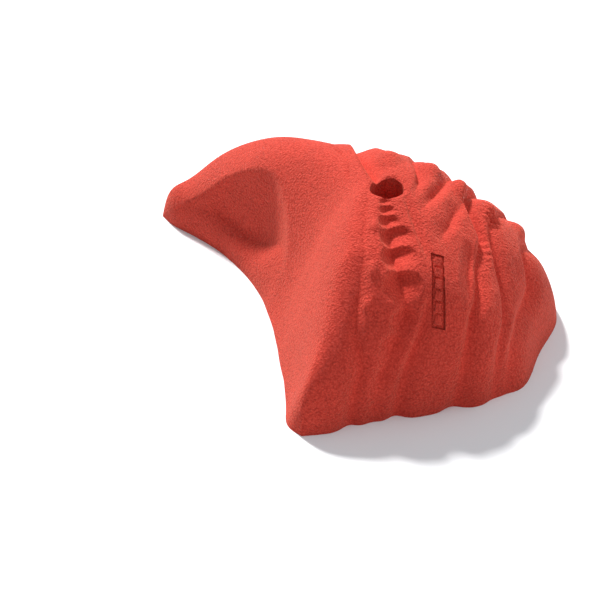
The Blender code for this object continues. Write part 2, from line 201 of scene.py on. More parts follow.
# Spoon cuts down the trough: x, y, across, along, depth. Each is deepest near its top
SPOONS = (
    (0, -9.5, 2.8, 2.2, 1.7),
    (-1, -13.5, 3.8, 2.8, 2.2),
    (0, -19.5, 5.0, 4.2, 3.0),
    (1, -27, 6.6, 5.6, 3.8),
    (5, -37, 10.0, 8.8, 5.6),
    (6, -49.5, 11.0, 10.0, 6.2),
    (7, -63, 12.0, 10.4, 5.6),
    (8, -75, 9.0, 8.0, 3.6),
    (1, -83, 7.4, 8.0, 2.6),
    (-3, -90, 5.2, 5.4, 1.8),
    (-6, -95, 4.6, 5.6, 1.4),
)
SPOON_EDGE = 4.0             # a high edge is a crisp rim
SPOON_LEAN = 0.95            # share of the depth lost towards the foot of the cut
SPOON_SLANT = 0.6            # how far the deep side turns to the left
# Bands of small ripples: x, y, across, along, period, height
RIPPLES = (
    (61, 5, 11, 13, 4.6, 1.3),
    (56, -22, 7, 12, 5.0, 0.7),
)
RIPPLE_CURL = 0.35           # rise of a ripple towards its ends
WELL_RIM = 0.0022            # rounding of the resin where a well opens
WELL_RIM_DEPTH = 0.0012

# Name plate
PLATE_PATH = ((26.5, -42), (26.5, -74))
PLATE_WIDTH = 0.0078
PLATE_DEPTH = 0.0018
PLATE_GROOVE = 0.0010        # width of the groove round the plate's panel
PANEL_DEPTH = 0.0012
PLATE_CUTTER_LIFT = 0.006
PLATE_STEPS = 24
PLATE_EASING = 12
GROOVE_STEP = 1.02           # the panel starts just past the groove, in groove widths

SKY_COLOR = (0.90, 0.97, 1.05, 1.0)
SENSOR_WIDTH = 36


class CastingSettings(PropertyGroup):
    """Sizes and colours of the resin casting."""

    columns: IntProperty(name="Columns", description="Sections along the crescent",
                         default=380, min=60, max=400)
    rows: IntProperty(name="Rows", description="Points across a section",
                      default=236, min=40, max=240)
    sand_height: FloatProperty(name="Sand height", description="Height of the coarse sand grain",
                               default=0.00014, unit="LENGTH", precision=5)
    sand_size: FloatProperty(name="Sand size", description="Width of one coarse grain",
                             default=0.0022, unit="LENGTH", precision=5)
    wave_height: FloatProperty(name="Wave height",
                               description="Height of the hand-shaped unevenness",
                               default=0.0005, unit="LENGTH", precision=5)
    wave_size: FloatProperty(name="Wave size", description="Width of one hand-shaped wave",
                             default=0.014, unit="LENGTH", precision=5)
    grain_depth: FloatProperty(name="Grain depth",
                               description="Depth of the fine sand in the finish",
                               default=0.0010, unit="LENGTH", precision=5)
    grain_size: FloatProperty(name="Grain size", description="Width of one fine grain",
                              default=0.0012, unit="LENGTH", precision=5)
    # the resin's own red with painted light on the grain's tops, and a darker copy of it with
    # painted shade between the grains
    resin_and_painted_light: FloatVectorProperty(name="Light resin", description="Resin on the grain's tops",
                                     subtype="COLOR", size=4, min=0, max=1,
                                     default=(0.74, 0.065, 0.040, 1.0))
    resin_and_painted_shade: FloatVectorProperty(name="Deep resin", description="Resin between the grains",
                                    subtype="COLOR", size=4, min=0, max=1,
                                    default=(0.50, 0.030, 0.017, 1.0))


class PlateSettings(PropertyGroup):
    """Sizes of the plain raised pips on the name plate."""

    count: IntProperty(name="Pips", description="Raised pips down the plate",
                       default=6, min=1, max=20)
    pip_width: FloatProperty(name="Pip width", description="Across the plate",
                             default=0.0038, unit="LENGTH", precision=5)
    pip_length: FloatProperty(name="Pip length", description="Down the plate",
                              default=0.0050, unit="LENGTH", precision=5)
    pip_height: FloatProperty(name="Pip height", description="Out of the recess",
                              default=0.0011, unit="LENGTH", precision=5)


class StageSettings(PropertyGroup):
    """Floor, light and camera."""

    floor_color: FloatVectorProperty(name="Floor", description="Colour of the floor",
                                     subtype="COLOR", size=4, min=0, max=1,
                                     default=(0.9, 0.9, 0.9, 1.0))
    floor_size: FloatProperty(name="Floor size", description="Side of the square floor",
                              default=20.0, unit="LENGTH")
    sun_toward: FloatVectorProperty(name="Sun direction", description="From the hold to the sun",
                                    subtype="DIRECTION", size=3, default=(-0.46, 0.95, 1.0))
    sun_strength: FloatProperty(name="Sun", description="Strength of the key light", default=5.0)
    sun_angle: FloatProperty(name="Sun angle", description="Apparent size of the key light",
                             default=np.radians(7), subtype="ANGLE")
    sky_strength: FloatProperty(name="Sky", description="Strength of the even fill light",
                                default=0.37)
    fill_toward: FloatVectorProperty(name="Fill direction", description="From the hold to the fill",
                                     subtype="DIRECTION", size=3, default=(0.8, 0.0, 1.0))
    fill_strength: FloatProperty(name="Fill", description="Strength of the broad fill light",
                                 default=0.85)
    fill_angle: FloatProperty(name="Fill angle", description="Apparent size of the fill light",
                              default=np.radians(80), subtype="ANGLE")
    lens: FloatProperty(name="Lens", description="Focal length in millimetres", default=111.5)
    elevation: FloatProperty(name="Elevation", description="Camera's angle above the floor",
                             default=np.radians(38), subtype="ANGLE")
    distance: FloatProperty(name="Distance", description="Camera to its target on the floor",
                            default=1.1, unit="LENGTH")
    target: FloatVectorProperty(name="Target", description="Camera's target, from the bolt's axis",
                                subtype="TRANSLATION", size=2, default=(-0.0483, 0.0138))


class HoldSettings(PropertyGroup):
    """Everything that the panel shows."""

    casting: PointerProperty(type=CastingSettings)
    plate: PointerProperty(type=PlateSettings)
    stage: PointerProperty(type=StageSettings)


# Points and surfaces

def smooth_curve(knots, values, at):
    """Cubic curve through values at the knots, read at the places in at."""
    values = np.asarray(values, float)
    if values.ndim == 1:
        values = values[:, None]
    flat = values.reshape(len(values), -1)
    slopes = np.gradient(flat, knots, axis=0)
    span = np.clip(np.searchsorted(knots, at, side="right") - 1, 0, len(knots) - 2)
    width = (knots[span + 1] - knots[span])[:, None]
    t = (at - knots[span])[:, None] / width
    curve = ((2 * t**3 - 3 * t**2 + 1) * flat[span]
             + (t**3 - 2 * t**2 + t) * width * slopes[span]
             + (3 * t**2 - 2 * t**3) * flat[span + 1]
             + (t**3 - t**2) * width * slopes[span + 1])
    return curve.reshape((len(at),) + values.shape[1:])


def running_length(points):
    """Distance along a polyline, from 0."""
    steps = np.linalg.norm(np.diff(points, axis=0), axis=1)
    return np.concatenate(([0], np.cumsum(steps)))


def even_points(points, count):
    """Space count points evenly along a polyline."""
    run = running_length(points)
    places = np.linspace(0, run[-1], count)
    return np.column_stack([np.interp(places, run, points[:, axis])
                            for axis in range(points.shape[1])])


def section(inner, crest, height, outer, bow, hollow, full):
    """Points of one section, from the inner edge over the crest to the outer edge."""
    rise = np.linspace(0, 1, SECTION_SAMPLES)[:-1]
    dish = (1 - (1 - rise)**bow)**hollow
    inner_face = np.column_stack((inner + np.outer(rise, crest - inner), height * dish))
    turn = np.linspace(0, np.pi / 2, SECTION_SAMPLES)
    out = np.sin(turn)**(2 / full)
    drop = np.clip(np.cos(turn), 0, 1)**(2 / full)
    outer_face = np.column_stack((crest + np.outer(out, outer - crest), height * drop))
    return np.vstack((inner_face, outer_face))


def carve_scoop(points):
    """Cut the finger scoop's wall and floor into one column of the grid."""
    rim = np.array(SCOOP_RIM, float)
    rim = smooth_curve(running_length(rim[:, :2]), rim,
                       np.linspace(0, running_length(rim[:, :2])[-1], SCOOP_SAMPLES))
    heading = np.gradient(rim[:, :2], axis=0)
    gaps = np.linalg.norm(points[:, None, :2] - rim[None, :, :2], axis=2)
    nearest = gaps.argmin(axis=1)
    away = points[:, :2] - rim[nearest, :2]
    side = heading[nearest, 0] * away[:, 1] - heading[nearest, 1] * away[:, 0]
    into = gaps[np.arange(len(points)), nearest]
    wall = rim[nearest, 2] - SCOOP_STEEPNESS * into
    floor = points[:, 2] * rim[nearest, 3]
    carved = np.minimum(points[:, 2], np.maximum(wall, floor))
    points = points.copy()
    points[:, 2] = np.where(side < 0, carved, points[:, 2])
    return points


def relax(grid, passes):
    """Even the surface out, with its edge kept on the wall plane."""
    for _ in range(passes):
        across = grid.copy()
        across[:, 1:-1] = grid[:, 1:-1] * 0.5 + (grid[:, 2:] + grid[:, :-2]) * 0.25
        grid = across.copy()
        grid[1:-1] = across[1:-1] * 0.5 + (across[2:] + across[:-2]) * 0.25
        grid[:, 0, 2] = 0
        grid[:, -1, 2] = 0
    return grid


def pattern_surface(columns, rows):
    """Grid of points over the smooth pattern, columns by rows, in pattern millimetres."""
    outer = np.array([station.outer for station in STATIONS], float)
    knots = running_length(outer)
    knots = knots / knots[-1]
    at = np.linspace(0, 1, PATTERN_COLUMNS)
    outer = smooth_curve(knots, outer, at)
    inner = smooth_curve(knots, [station.inner for station in STATIONS], at)
    crest = smooth_curve(knots, [station.crest for station in STATIONS], at)
    height = smooth_curve(knots, [station.crest_height for station in STATIONS], at)[:, 0]
    form = smooth_curve(knots, [(station.bow, station.hollow, station.full)
                                for station in STATIONS], at)
    from_tip = np.clip(np.minimum(at, 1 - at) / HORN_ROUNDING, 0, 1)
    close = np.sqrt(1 - (1 - from_tip)**2)
    middle = (inner + outer) / 2
    inner = middle + (inner - middle) * close[:, None]
    outer = middle + (outer - middle) * close[:, None]
    crest = middle + (crest - middle) * close[:, None]
    height = height * close
    grid = np.array([even_points(section(inner[i], crest[i], height[i], outer[i], *form[i]),
                                 PATTERN_ROWS)
                     for i in range(PATTERN_COLUMNS)])
    grid = relax(grid, PATTERN_PASSES)
    # columns are even along the outer flank, rows are even across a section
    run = running_length(grid[:, PATTERN_ROWS * 3 // 4])
    places = np.interp(np.linspace(0, run[-1], columns), run, at)
    places[0], places[-1] = 0, 1
    grid = smooth_curve(at, grid, places)
    across = np.linspace(0, 1, PATTERN_ROWS)
    grid = smooth_curve(across, grid.swapaxes(0, 1), np.linspace(0, 1, rows)).swapaxes(0, 1)
    grid[:, 0, 2] = 0
    grid[:, -1, 2] = 0
    grid = np.array([even_points(carve_scoop(column), rows) for column in grid])
    return relax(grid, CARVED_PASSES)


def stretch_to_size(grid, size):
    """Stretch a grid to the hold's size. Returns it in metres, and the scale used."""
    points = grid.reshape(-1, 3)
    scale = size / (points.max(axis=0) - points.min(axis=0))
    return grid * scale, scale


def grid_normals(grid):
    """Outward unit normal at each point of the grid."""
    normals = np.cross(np.gradient(grid, axis=0), np.gradient(grid, axis=1))
    length = np.linalg.norm(normals, axis=2, keepdims=True)
    normals = normals / np.maximum(length, TINY)
    return np.where(length > TINY, normals, (0.0, 0.0, 1.0))


def surface_tree(grid):
    """The grid as a surface that rays can be dropped on."""
    index = np.arange(grid.shape[0] * grid.shape[1]).reshape(grid.shape[:2])
    quads = np.stack((index[:-1, :-1], index[1:, :-1], index[1:, 1:], index[:-1, 1:]), axis=-1)
    return BVHTree.FromPolygons(grid.reshape(-1, 3).tolist(), quads.reshape(-1, 4).tolist())


def drop_on(surface, x, y):
    """Point and normal of the surface under a place in plan."""
    point, normal = surface.ray_cast(Vector((x, y, 1.0)), Vector((0, 0, -1)))[:2]
    if point is None:
        return Vector((x, y, 0)), Vector((0, 0, 1))
    return point, (normal if normal.z > 0 else -normal)


def lay_on_surface(path, surface, scale):
    """Lay a path of plan points, and any values after them, on the surface in metres."""
    path = np.array(path, float)
    plan = path[:, :2] * scale[:2]
    run = running_length(plan)
    fine = smooth_curve(run, np.column_stack((plan, path[:, 2:])),
                        np.linspace(0, run[-1], PATH_SAMPLES))
    heights = [drop_on(surface, x, y)[0].z for x, y in fine[:, :2]]
    laid = np.column_stack((fine[:, :2], heights, fine[:, 2:]))
    return even_along(laid, PATH_SPACING)


def even_along(laid, spacing):
    """Space the rows of a laid path evenly by their first three columns."""
    run = running_length(laid[:, :3])
    places = np.arange(0, run[-1], spacing)
    return np.column_stack([np.interp(places, run, laid[:, axis])
                            for axis in range(laid.shape[1])])


def press_valley(points, normals, valley, surface, scale):
    """How deep one valley presses into each point, in metres."""
    laid = lay_on_surface(valley.bed, surface, scale)
    bed, depths = laid[:, :3], laid[:, 3]
    unit = scale.mean()
    reach = max(valley.left, valley.right) * unit
    pressed = np.zeros(len(points))
    near = np.where((points > bed.min(axis=0) - reach).all(axis=1)
                    & (points < bed.max(axis=0) + reach).all(axis=1))[0]
    heading = np.gradient(bed, axis=0)
    for chunk in np.array_split(near, max(1, len(near) // POINTS_AT_ONCE)):
        gaps = np.linalg.norm(points[chunk, None, :] - bed[None, :, :], axis=2)
        nearest = gaps.argmin(axis=1)
        distance = gaps[np.arange(len(chunk)), nearest]
        side = np.cross(heading[nearest], points[chunk] - bed[nearest])
        on_left = (side * normals[chunk]).sum(axis=1) > 0
        share = distance / (np.where(on_left, valley.left, valley.right) * unit)
        pressed[chunk] = depths[nearest] * unit * (1 - np.clip(share, 0, 1))**valley.sharp
    return pressed


def local_place(points, surface, scale, x, y):
    """The points' places across, up and out of the surface at (x, y), in pattern millimetres."""
    centre, normal = drop_on(surface, x * scale[0], y * scale[1])
    across = Vector((1, 0, 0))
    across = (across - normal * across.dot(normal)).normalized()
    up = normal.cross(across)
    offset = (points - np.array(centre)) / scale.mean()
    return offset @ np.array(across), offset @ np.array(up), offset @ np.array(normal)


def press_swell(points, surface, scale, swell):
    """How deep one swell presses into each point: it rises, so the depth is negative."""
    a, b, c = local_place(points, surface, scale, swell.x, swell.y)
    across = np.where(a < 0, swell.left, swell.right)
    share = np.clip((a / across)**2 + (b / swell.along)**2 + (c / swell.left)**2, 0, 1)
    return -swell.height * scale.mean() * (1 - share)**SWELL_EDGE


def press_spoon(points, surface, scale, x, y, across, along, depth):
    """How deep one spoon cut presses in. It is crisp, and deepest near its top."""
    a, b, c = local_place(points, surface, scale, x, y)
    radius = np.sqrt((a / across)**2 + (b / along)**2 + (c / (2 * along))**2)
    share = np.clip(radius, 0, 1)
    lean = 1 - SPOON_LEAN * np.clip((SPOON_SLANT * a / across - b / along + 1) / 2, 0, 1)
    return depth * scale.mean() * (1 - share**SPOON_EDGE) * lean


def press_ripple(points, surface, scale, x, y, across, along, period, height):
    """How deep a band of ripples presses in, each turned up at its ends like a smile."""
    a, b, _ = local_place(points, surface, scale, x, y)
    share = np.clip((a / across)**2 + (b / along)**2, 0, 1)
    curl = RIPPLE_CURL * np.abs(a)
    return height * scale.mean() * (1 - share)**2 * np.sin(2 * np.pi * (b - curl) / period)


def uneven(points, size, seed):
    """Smooth noise from -1 to 1 at each point."""
    shift = Vector((seed * 7.31, seed * 3.17, seed * 5.73))
    return np.array([noise.noise(Vector(point) / size + shift) for point in points])


def casting_grid(settings):
    """The casting's grid in metres from the bolt's axis, its hollowness, surface and scale."""
    size = np.array(BODY_HIGH - BODY_LOW)
    grid, scale = stretch_to_size(pattern_surface(settings.columns, settings.rows), size)
    surface = surface_tree(grid)
    normals = grid_normals(grid)
    points = grid.reshape(-1, 3)
    flat_normals = normals.reshape(-1, 3)
    unit = scale.mean()
    depth = np.max([press_valley(points, flat_normals, valley, surface, scale)
                    for valley in VALLEYS], axis=0)
    depth += np.max([press_valley(points, flat_normals, crease, surface, scale)
                     for crease in CREASES], axis=0)
    depth += np.max([press_spoon(points, surface, scale, *spoon) for spoon in SPOONS], axis=0)
    depth += np.sum([press_swell(points, surface, scale, swell) for swell in SWELLS], axis=0)
    depth += np.sum([press_ripple(points, surface, scale, *ripple) for ripple in RIPPLES], axis=0)
    # the ribbed part is shaped by hand: waves fade in to the right of the smooth edge
    rib = np.clip((points[:, 0] / unit - RIB_EDGE[0]) / RIB_EDGE[1], 0, 1)
    rib *= np.clip((points[:, 2] / unit - SMOOTH_FOOT[0]) / SMOOTH_FOOT[1], LEAST_RIB, 1)
    hollowness = np.clip(depth / (FULL_HOLLOW * unit), 0, 1)
    depth += uneven(points, settings.wave_size, 1) * settings.wave_height * rib
    depth += (uneven(points, settings.wave_size / FINE_WAVE, 2)
              * settings.wave_height / FINE_WAVE * rib)
    coarse = LEAST_SAND + (1 - LEAST_SAND) * rib * (1 - hollowness)
    depth += uneven(points, settings.sand_size, 3) * settings.sand_height * coarse
    from_bolt = np.hypot(points[:, 0], points[:, 1]) - (BOLT_HIGH.x - BOLT_AXIS.x - WASHER_RIM)
    depth += WELL_RIM_DEPTH * (1 - np.clip(from_bolt / WELL_RIM, 0, 1))**2
    depth = depth.reshape(grid.shape[:2])
    depth[0] = 0
    depth[-1] = 0
    pressed = grid - normals * depth[..., None]
    foot = np.clip(grid[..., 2] / FOOT_HEIGHT, 0, 1)
    pressed[..., 2] = grid[..., 2] + (pressed[..., 2] - grid[..., 2]) * foot
    # the flutes soften towards the foot
    low = 1 - np.clip((grid[..., 2:] / unit - SMOOTH_FOOT[0]) / SMOOTH_FOOT[1], 0, 1)
    pressed = pressed + (relax(pressed, FOOT_PASSES) - pressed) * low
    pressed = stretch_to_size(pressed, size)[0]
    return pressed, hollowness, surface_tree(pressed), scale


def finished_mesh(mesh_data, name):
    """Face every face outwards, and turn the bmesh into a mesh."""
    bmesh.ops.recalc_face_normals(mesh_data, faces=mesh_data.faces)
    mesh = bpy.data.meshes.new(name)
    mesh_data.to_mesh(mesh)
    mesh_data.free()
    return mesh


def casting_mesh(grid, hollowness):
    """Closed mesh of the casting, about the bolt's axis, with its hollowness."""
    columns, rows = grid.shape[:2]
    mesh_data = bmesh.new()
    layer = mesh_data.verts.layers.float.new("hollow")
    places = grid.reshape(-1, 3).tolist()
    verts = [mesh_data.verts.new(place) for place in places]
    for vert, value in zip(verts, hollowness.tolist()):
        vert[layer] = value
    verts = [verts[i * rows:(i + 1) * rows] for i in range(columns)]
    for i in range(columns - 1):
        for j in range(rows - 1):
            mesh_data.faces.new((verts[i][j], verts[i + 1][j],
                                 verts[i + 1][j + 1], verts[i][j + 1]))
    outline = [verts[i][0] for i in range(columns)]
    outline += [verts[i][-1] for i in range(columns - 2, 0, -1)]
    mesh_data.faces.new(outline)
    bmesh.ops.remove_doubles(mesh_data, verts=mesh_data.verts, dist=MERGE_DISTANCE)
    bmesh.ops.dissolve_degenerate(mesh_data, edges=mesh_data.edges, dist=SLIVER_LENGTH)
    return finished_mesh(mesh_data, "casting")


def turned_mesh(name, profile, centre):
    """Closed mesh turned from (radius, height) points about a vertical axis."""
    mesh_data = bmesh.new()
    edges = []
    verts = [mesh_data.verts.new((radius, 0, height)) for radius, height in profile]
    for start, end in zip(verts, verts[1:]):
        edges.append(mesh_data.edges.new((start, end)))
    bmesh.ops.spin(mesh_data, geom=verts + edges, cent=(0, 0, 0), axis=(0, 0, 1),
                   angle=2 * np.pi, steps=ROUND_SIDES, use_merge=False)
    bmesh.ops.remove_doubles(mesh_data, verts=mesh_data.verts, dist=TURNED_MERGE)
    bmesh.ops.translate(mesh_data, verts=mesh_data.verts, vec=centre)
    return finished_mesh(mesh_data, name)


def well_mesh(name, low, high, shank_radius):
    """Cutter for one fastener's well, round the washer whose box is low to high."""
    rim = (high.x - low.x) / 2
    head = rim - WASHER_RIM
    pocket = rim + MOULD_GAP
    pocket_floor = low.z - MOULD_GAP
    pocket_roof = high.z - SEAT_LAND + MOULD_GAP
    top = BODY_HIGH.z + 2 * FACE_CUT
    profile = ((0, top), (head, top), (head, pocket_roof), (pocket, pocket_roof),
               (pocket, pocket_floor), (shank_radius, pocket_floor),
               (shank_radius, -FACE_CUT), (0, -FACE_CUT))
    return turned_mesh(name, profile, ((low.x + high.x) / 2, (low.y + high.y) / 2, 0))


def smooth_line(line, passes):
    """Ease the kinks out of a line, with its ends kept."""
    for _ in range(passes):
        line = line.copy()
        line[1:-1] = line[1:-1] * 0.5 + (line[2:] + line[:-2]) * 0.25
    return line


def plate_frame(surface, scale):
    """The line down the plate, and the plate's across and outward directions."""
    line = even_points(lay_on_surface(PLATE_PATH, surface, scale), PLATE_STEPS)
    smooth = smooth_line(line, PLATE_EASING)
    rises = [drop_on(surface, x + PLATE_WIDTH / 2, y)[0].z
             - drop_on(surface, x - PLATE_WIDTH / 2, y)[0].z for x, y, _ in smooth]
    across = Vector((PLATE_WIDTH, 0, np.mean(rises))).normalized()
    down = Vector(smooth[-1] - smooth[0])
    outward = across.cross(down).normalized()
    outward = -outward if outward.z < 0 else outward
    return smooth, across, outward


def plate_mesh(line, across, outward):
    """Cutter that sinks the plate's recess into the flank."""
    strip = bmesh.new()
    half = PLATE_WIDTH / 2
    panel = half - PLATE_GROOVE
    run = running_length(line)
    panel_start = PLATE_GROOVE * GROOVE_STEP
    places = np.concatenate(([0, PLATE_GROOVE],
                             np.linspace(panel_start, run[-1] - panel_start, PLATE_STEPS),
                             [run[-1] - PLATE_GROOVE, run[-1]]))
    rings = []
    for place in places:
        point = Vector([np.interp(place, run, line[:, axis]) for axis in range(3)])
        on_panel = PLATE_GROOVE < place < run[-1] - PLATE_GROOVE
        floor = -PANEL_DEPTH if on_panel else -PLATE_DEPTH
        rings.append([strip.verts.new(point + across * sideways + outward * rise)
                      for sideways, rise in
                      ((-half, -PLATE_DEPTH), (-panel, -PLATE_DEPTH), (-panel, floor),
                       (panel, floor), (panel, -PLATE_DEPTH), (half, -PLATE_DEPTH),
                       (half, PLATE_CUTTER_LIFT), (-half, PLATE_CUTTER_LIFT))])
    for ring, following in zip(rings, rings[1:]):
        for here in range(len(ring)):
            after = (here + 1) % len(ring)
            strip.faces.new((ring[here], ring[after], following[after], following[here]))
    strip.faces.new(rings[0])
    strip.faces.new(rings[-1])
    return finished_mesh(strip, "plate_recess")


def cut_with(obj, meshes):
    """Cut the meshes out of the object and keep the result as its mesh."""
    cutters = []
    for mesh in meshes:
        cutter = bpy.data.objects.new(mesh.name, mesh)
        bpy.context.scene.collection.objects.link(cutter)
        boolean = obj.modifiers.new(mesh.name, "BOOLEAN")
        boolean.operation = "DIFFERENCE"
        boolean.solver = "EXACT"
        boolean.object = cutter
        cutters.append(cutter)
    apply_modifiers(obj)
    for cutter in cutters:
        bpy.data.objects.remove(cutter, do_unlink=True)


def apply_modifiers(obj):
    """Turn the evaluated object into a plain mesh and drop its modifiers."""
    graph = bpy.context.evaluated_depsgraph_get()
    mesh = bpy.data.meshes.new_from_object(obj.evaluated_get(graph))
    obj.modifiers.clear()
    obj.data = mesh


def link_object(name, mesh):
    """Add a mesh to the scene as an object."""
    obj = bpy.data.objects.new(name, mesh)
    bpy.context.scene.collection.objects.link(obj)
    return obj


# Materials

def new_node(tree, kind, place, **values):
    """Add a node, set its fields, and set its inputs where the name is an input's."""
    node = tree.nodes.new(kind)
    node.location = place
    for name, value in values.items():
        if name in node.inputs:
            node.inputs[name].default_value = value
        else:
            setattr(node, name, value)
    return node


def grain_group():
    """Node group for a surface's grain: bead height, fine speckle and broad mottle."""
    tree = bpy.data.node_groups.get("surface_grain")
    if tree:
        return tree
    tree = bpy.data.node_groups.new("surface_grain", "ShaderNodeTree")
    tree.interface.new_socket("Size", in_out="INPUT", socket_type="NodeSocketFloat")
    tree.interface.new_socket("Mottle Size", in_out="INPUT", socket_type="NodeSocketFloat")
    for name in ("Height", "Speckle", "Mottle"):
        tree.interface.new_socket(name, in_out="OUTPUT", socket_type="NodeSocketFloat")
    link = tree.links.new
    inputs = new_node(tree, "NodeGroupInput", (-900, 0))
    output = new_node(tree, "NodeGroupOutput", (700, 0))
    place = new_node(tree, "ShaderNodeTexCoord", (-900, 300))
    grain_rate = new_node(tree, "ShaderNodeMath", (-700, 0), operation="DIVIDE")
    grain_rate.inputs[0].default_value = 1.0
    mottle_rate = new_node(tree, "ShaderNodeMath", (-700, -200), operation="DIVIDE")
    mottle_rate.inputs[0].default_value = 1.0
    fine_rate = new_node(tree, "ShaderNodeMath", (-500, -100), operation="MULTIPLY")
    fine_rate.inputs[1].default_value = 2.3
    link(inputs.outputs["Size"], grain_rate.inputs[1])
    link(inputs.outputs["Mottle Size"], mottle_rate.inputs[1])
    link(grain_rate.outputs[0], fine_rate.inputs[0])
    worms = new_node(tree, "ShaderNodeTexNoise", (-300, 250), Detail=2.0, Roughness=0.55,
                     Distortion=0.7)
    beads = new_node(tree, "ShaderNodeTexVoronoi", (-300, 0), feature="SMOOTH_F1", Smoothness=0.5)
    speckle = new_node(tree, "ShaderNodeTexNoise", (-300, -250), Detail=3.0, Roughness=0.6)
    mottle = new_node(tree, "ShaderNodeTexNoise", (-300, -500), Detail=3.0, Roughness=0.55)
    for texture, rate in ((worms, grain_rate), (beads, grain_rate), (speckle, fine_rate),
                          (mottle, mottle_rate)):
        link(place.outputs["Object"], texture.inputs["Vector"])
        link(rate.outputs[0], texture.inputs["Scale"])
    bead_height = new_node(tree, "ShaderNodeMath", (0, 0), operation="MULTIPLY_ADD")
    bead_height.inputs[1].default_value = -0.6
    link(beads.outputs["Distance"], bead_height.inputs[0])
    link(worms.outputs["Fac"], bead_height.inputs[2])
    height = new_node(tree, "ShaderNodeMath", (250, 0), operation="MULTIPLY_ADD")
    height.inputs[1].default_value = 0.35
    link(speckle.outputs["Fac"], height.inputs[0])
    link(bead_height.outputs[0], height.inputs[2])
    link(height.outputs[0], output.inputs["Height"])
    link(speckle.outputs["Fac"], output.inputs["Speckle"])
    link(mottle.outputs["Fac"], output.inputs["Mottle"])
    return tree


def start_material(name):
    """A material with its shader, and the grain group beside it."""
    material = bpy.data.materials.new(name)
    material.use_nodes = True
    tree = material.node_tree
    shader = tree.nodes["Principled BSDF"]
    shader.location = (600, 0)
    grain = new_node(tree, "ShaderNodeGroup", (-900, 0), node_tree=grain_group())
    return material, tree, shader, grain


def mapped(tree, source, place, low, high, from_low, from_high):
    """Map a value's range and clamp it."""
    node = new_node(tree, "ShaderNodeMapRange", place)
    for name, value in (("From Min", from_low), ("From Max", from_high),
                        ("To Min", low), ("To Max", high)):
        node.inputs[name].default_value = value
    tree.links.new(source, node.inputs["Value"])
    return node.outputs["Result"]


def resin_material(settings):
    """Sand-textured cast resin, with painted shade between the grains and painted light on their
    tops.
    """
    material, tree, shader, grain = start_material("sand_cast_resin")
    link = tree.links.new
    grain.inputs["Size"].default_value = settings.grain_size
    grain.inputs["Mottle Size"].default_value = 0.02
    for name, value in (("Specular IOR Level", 0.2), ("Sheen Weight", 0.15),
                        ("Sheen Roughness", 0.5), ("Sheen Tint", (1.0, 0.66, 0.42, 1.0))):
        shader.inputs[name].default_value = value
    # painted light and shade: the colour is lighter on the grain's tops and darker between them, on
    # top of the bump
    tops = mapped(tree, grain.outputs["Height"], (-600, 300), 0.0, 1.0, 0.15, 0.75)
    hollow = new_node(tree, "ShaderNodeAttribute", (-900, -300), attribute_name="hollow")
    cover = mapped(tree, hollow.outputs["Fac"], (-600, -300), 1.0, 0.45, 0.2, 0.9)
    mix = new_node(tree, "ShaderNodeMix", (-300, 300), data_type="RGBA")
    mix.inputs["A"].default_value = settings.resin_and_painted_shade
    mix.inputs["B"].default_value = settings.resin_and_painted_light
    link(tops, mix.inputs["Factor"])
    shade = new_node(tree, "ShaderNodeMix", (0, 300), data_type="RGBA", blend_type="MULTIPLY")
    shade.inputs["Factor"].default_value = 1.0
    link(mix.outputs["Result"], shade.inputs["A"])
    tone = mapped(tree, grain.outputs["Mottle"], (-600, 100), 0.94, 1.05, 0.3, 0.7)
    link(tone, shade.inputs["B"])
    link(shade.outputs["Result"], shader.inputs["Base Color"])
    link(mapped(tree, grain.outputs["Speckle"], (-300, 0), 0.72, 0.95, 0.3, 0.7),
         shader.inputs["Roughness"])
    height = new_node(tree, "ShaderNodeMath", (-300, -200), operation="MULTIPLY")
    link(grain.outputs["Height"], height.inputs[0])
    link(cover, height.inputs[1])
    bump = new_node(tree, "ShaderNodeBump", (100, -200), Strength=1.0,
                    Distance=settings.grain_depth)
    link(height.outputs[0], bump.inputs["Height"])
    link(bump.outputs["Normal"], shader.inputs["Normal"])
    return material


def steel_material():
    """Zinc-plated pressed steel."""
    material, tree, shader, grain = start_material("zinc_plated_steel")
    link = tree.links.new
    grain.inputs["Size"].default_value = 0.0006
    grain.inputs["Mottle Size"].default_value = 0.004
    shader.inputs["Metallic"].default_value = 1.0
    mix = new_node(tree, "ShaderNodeMix", (-300, 300), data_type="RGBA")
    mix.inputs["A"].default_value = (0.44, 0.45, 0.45, 1.0)
    mix.inputs["B"].default_value = (0.68, 0.68, 0.66, 1.0)
    link(mapped(tree, grain.outputs["Mottle"], (-600, 300), 0.0, 1.0, 0.3, 0.7),
         mix.inputs["Factor"])
    link(mix.outputs["Result"], shader.inputs["Base Color"])
    link(mapped(tree, grain.outputs["Speckle"], (-600, 0), 0.28, 0.46, 0.3, 0.7),
         shader.inputs["Roughness"])
    bump = new_node(tree, "ShaderNodeBump", (100, -200), Strength=0.4, Distance=0.00008)
    link(grain.outputs["Height"], bump.inputs["Height"])
    link(bump.outputs["Normal"], shader.inputs["Normal"])
    return material


def floor_material(color):
    """Plain matte floor."""
    material = bpy.data.materials.new("floor")
    material.use_nodes = True
    shader = material.node_tree.nodes["Principled BSDF"]
    shader.inputs["Base Color"].default_value = color
    shader.inputs["Roughness"].default_value = 0.9
    return material


